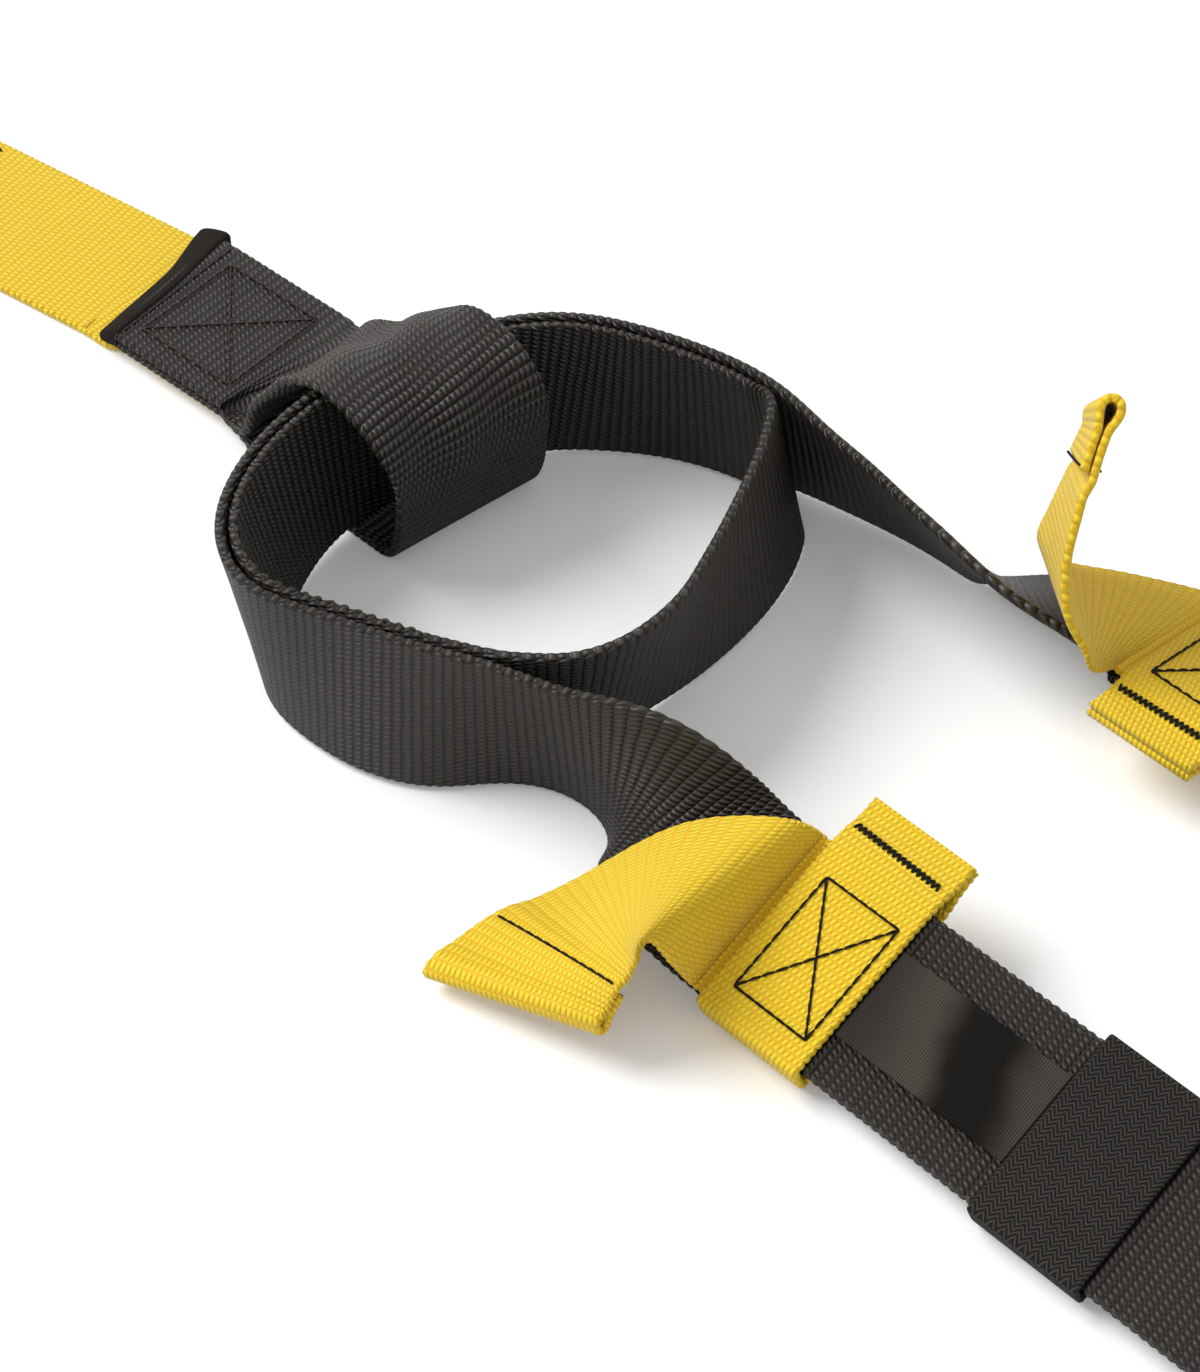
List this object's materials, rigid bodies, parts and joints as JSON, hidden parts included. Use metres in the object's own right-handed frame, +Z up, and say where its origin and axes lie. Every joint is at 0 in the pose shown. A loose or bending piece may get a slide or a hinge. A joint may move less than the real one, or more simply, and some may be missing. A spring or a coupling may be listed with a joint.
{
  "type": "suspension trainer",
  "caption": "Strap suspension trainer laid flat: yellow anchor strap with carabiner, black locking loop, two length-adjustable straps with cam buckles, foot cradles and handles.",
  "frame": {"origin": "on the floor under the joint between the anchor strap and the sling, at the middle of the anchor strap", "axes": "+X along the trainer from the carabiner to the handles, +Z up from the floor that it lies on"},
  "size_m": [1.2079, 0.3229, 0.0697],
  "materials": {
    "yellow_webbing": "woven",
    "black_webbing": "woven",
    "binding": "smooth",
    "satin": "satin",
    "elastic": "ribbed",
    "bright_steel": "satin",
    "black_steel": "satin",
    "tube_plastic": "matte",
    "rubber": "matte"
  },
  "bodies": {
    "root": {"anchor_strap": "yellow_webbing", "sling": "black_webbing", "sling_end_band": "binding", "main_strap_loop": "black_webbing", "locking_ring": "black_webbing", "front_main_strap": "black_webbing", "rear_main_strap": "black_webbing"},
    "carabiner": {"carabiner_body": "bright_steel", "gate_pin": "bright_steel"},
    "gate": {"carabiner_gate": "bright_steel", "gate_spring": "bright_steel"},
    "front_buckle": {"front_buckle_frame": "black_steel", "front_cam_axle": "bright_steel", "front_turn_bar": "bright_steel", "front_yoke_bar": "bright_steel", "front_strap_turn": "black_webbing", "front_cam_spring": "bright_steel"},
    "front_cam": {"front_cam_lever": "black_steel"},
    "front_tab": {"front_adjuster_sleeve": "yellow_webbing", "front_pull_tab": "yellow_webbing", "front_marker_ribbon": "satin", "front_elastic_keeper": "elastic", "front_tail_strap": "black_webbing"},
    "front_handle": {"front_handle_yoke": "black_webbing"},
    "front_grip": {"front_grip_tube": "tube_plastic", "front_grip_sleeve": "rubber", "front_left_washer": "rubber", "front_right_washer": "rubber"},
    "front_cradle": {"front_cradle_left_leg": "black_webbing", "front_cradle_right_leg": "black_webbing", "front_cradle_band": "black_webbing", "front_cradle_pad": "rubber"},
    "rear_buckle": {"rear_buckle_frame": "black_steel", "rear_cam_axle": "bright_steel", "rear_turn_bar": "bright_steel", "rear_yoke_bar": "bright_steel", "rear_strap_turn": "black_webbing", "rear_cam_spring": "bright_steel"},
    "rear_cam": {"rear_cam_lever": "black_steel"},
    "rear_tab": {"rear_adjuster_sleeve": "yellow_webbing", "rear_pull_tab": "yellow_webbing", "rear_marker_ribbon": "satin", "rear_elastic_keeper": "elastic", "rear_tail_strap": "black_webbing"},
    "rear_handle": {"rear_handle_yoke": "black_webbing"},
    "rear_grip": {"rear_grip_tube": "tube_plastic", "rear_grip_sleeve": "rubber", "rear_left_washer": "rubber", "rear_right_washer": "rubber"},
    "rear_cradle": {"rear_cradle_left_leg": "black_webbing", "rear_cradle_right_leg": "black_webbing", "rear_cradle_band": "black_webbing", "rear_cradle_pad": "rubber"}
  },
  "joints": [
    {"name": "carabiner_swing", "type": "hinge", "parent": "root", "child": "carabiner", "pos_m": [-0.22882, -0.04029, 0.00705], "axis": [-0.165, 0.9863, 0], "range_deg": [0, 120]},
    {"name": "gate_open", "type": "hinge", "parent": "carabiner", "child": "gate", "pos_m": [-0.25046, -0.01477, 0.00666], "axis": [-0.0227, -0.0038, 0.9997], "range_deg": [0, 24], "stiffness_Nm_per_rad": 0.25, "springref_deg": -34.38},
    {"name": "front_length", "type": "slide", "parent": "root", "child": "front_buckle", "axis": [1, 0, 0], "range_m": [0, 0.17], "deforming": ["front_main_strap"]},
    {"name": "front_tab_travel", "type": "slide", "parent": "front_buckle", "child": "front_tab", "axis": [1, 0, 0], "range_m": [0, 0.17], "deforming": ["front_tail_strap"]},
    {"name": "front_cam_release", "type": "hinge", "parent": "front_buckle", "child": "front_cam", "pos_m": [0.62279, -0.06883, 0.0142], "axis": [0, 1, 0], "range_deg": [0, 60], "stiffness_Nm_per_rad": 0.12, "springref_deg": -34.38},
    {"name": "front_handle_swing", "type": "hinge", "parent": "front_buckle", "child": "front_handle", "pos_m": [0.65689, -0.06883, 0.0078], "axis": [0, 1, 0], "range_deg": [-80, 80]},
    {"name": "front_grip_spin", "type": "hinge", "parent": "front_handle", "child": "front_grip", "pos_m": [0.75289, -0.06883, 0.0185], "axis": [0, 1, 0], "continuous": true},
    {"name": "front_cradle_swing", "type": "hinge", "parent": "front_handle", "child": "front_cradle", "pos_m": [0.75289, -0.06883, 0.0185], "axis": [0, 1, 0], "range_deg": [-100, 100]},
    {"name": "rear_length", "type": "slide", "parent": "root", "child": "rear_buckle", "axis": [1, 0, 0], "range_m": [0, 0.17], "deforming": ["rear_main_strap"]},
    {"name": "rear_tab_travel", "type": "slide", "parent": "rear_buckle", "child": "rear_tab", "axis": [1, 0, 0], "range_m": [0, 0.17], "deforming": ["rear_tail_strap"]},
    {"name": "rear_cam_release", "type": "hinge", "parent": "rear_buckle", "child": "rear_cam", "pos_m": [0.63349, 0.09517, 0.0142], "axis": [0, 1, 0], "range_deg": [0, 60], "stiffness_Nm_per_rad": 0.12, "springref_deg": -34.38},
    {"name": "rear_handle_swing", "type": "hinge", "parent": "rear_buckle", "child": "rear_handle", "pos_m": [0.66759, 0.09517, 0.0078], "axis": [0, 1, 0], "range_deg": [-80, 80]},
    {"name": "rear_grip_spin", "type": "hinge", "parent": "rear_handle", "child": "rear_grip", "pos_m": [0.76359, 0.09517, 0.0185], "axis": [0, 1, 0], "continuous": true},
    {"name": "rear_cradle_swing", "type": "hinge", "parent": "rear_handle", "child": "rear_cradle", "pos_m": [0.76359, 0.09517, 0.0185], "axis": [0, 1, 0], "range_deg": [-100, 100]}
  ],
  "couplings": [
    {"joint": "front_tab_travel", "follows": "front_length", "ratio": 1},
    {"joint": "rear_tab_travel", "follows": "rear_length", "ratio": 1}
  ]
}
